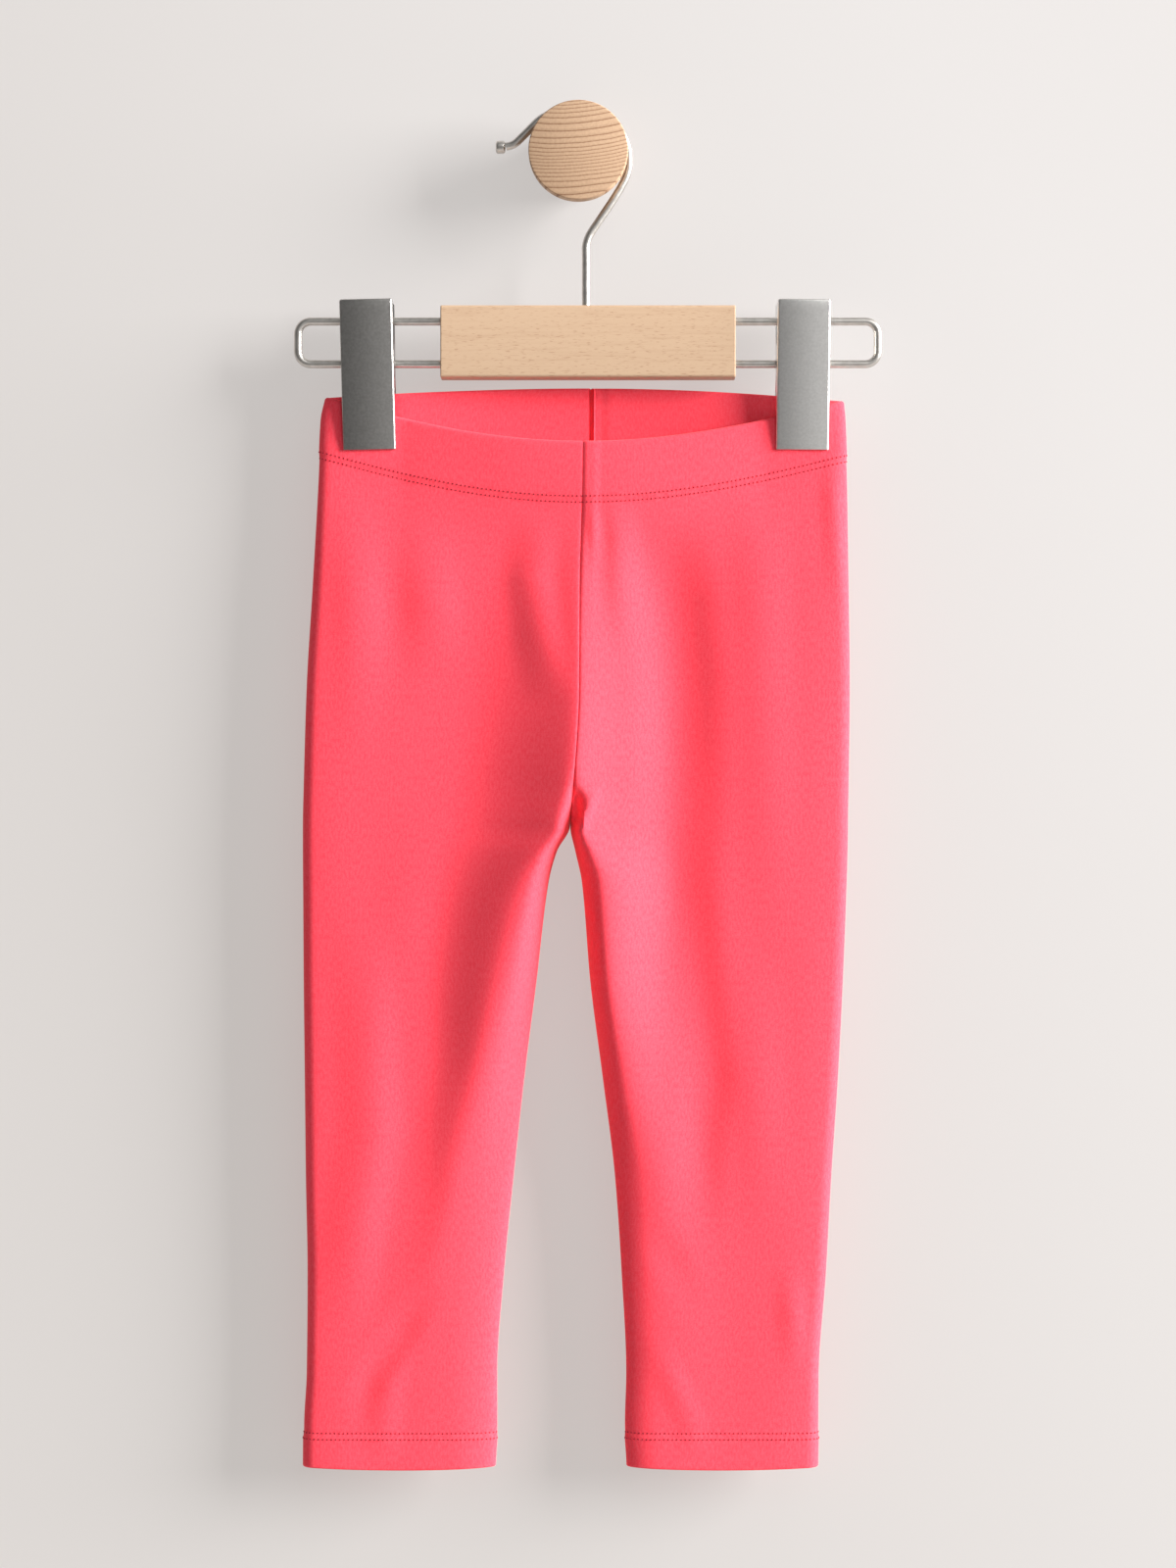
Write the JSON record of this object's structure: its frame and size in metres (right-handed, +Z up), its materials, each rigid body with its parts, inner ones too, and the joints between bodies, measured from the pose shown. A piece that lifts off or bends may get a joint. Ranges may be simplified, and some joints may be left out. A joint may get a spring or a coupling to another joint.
{
  "type": "leggings on a clip hanger and wall peg",
  "caption": "Child's pull-on jersey leggings with a turned waistband and plain hems, clipped flat to a wooden hanger that hangs by its wire hook on a round wall peg.",
  "frame": {"origin": "centre of the peg's round back face, where the peg is fixed to the wall", "axes": "+Z up, +Y into the wall, -Y towards the viewer in front of the garment, +X to the viewer's right"},
  "size_m": [0.273, 0.0388, 0.633],
  "materials": {
    "jersey": "soft brushed cotton jersey, coral pink",
    "bar_wood": "bare pale beech",
    "peg_wood": "bare pale softwood with growth rings",
    "wire": "satin nickel-plated steel wire",
    "clip_steel": "satin plated pressed steel",
    "spring_steel": "spring steel wire"
  },
  "bodies": {
    "root": {"wall_peg": "peg_wood", "hanger_bar": "bar_wood", "hanger_hook": "wire", "hook_knob": "wire", "wire_loop_left": "wire", "wire_loop_right": "wire", "clip_front_left": "clip_steel", "clip_front_right": "clip_steel", "clip_back_left": "clip_steel", "clip_back_right": "clip_steel", "clip_spring_left": "spring_steel", "clip_spring_right": "spring_steel", "leg_panel_left": "jersey", "leg_panel_right": "jersey", "waist_casing_left": "jersey", "waist_casing_right": "jersey", "ankle_hem_left": "jersey", "ankle_hem_right": "jersey"}
  },
  "joints": []
}
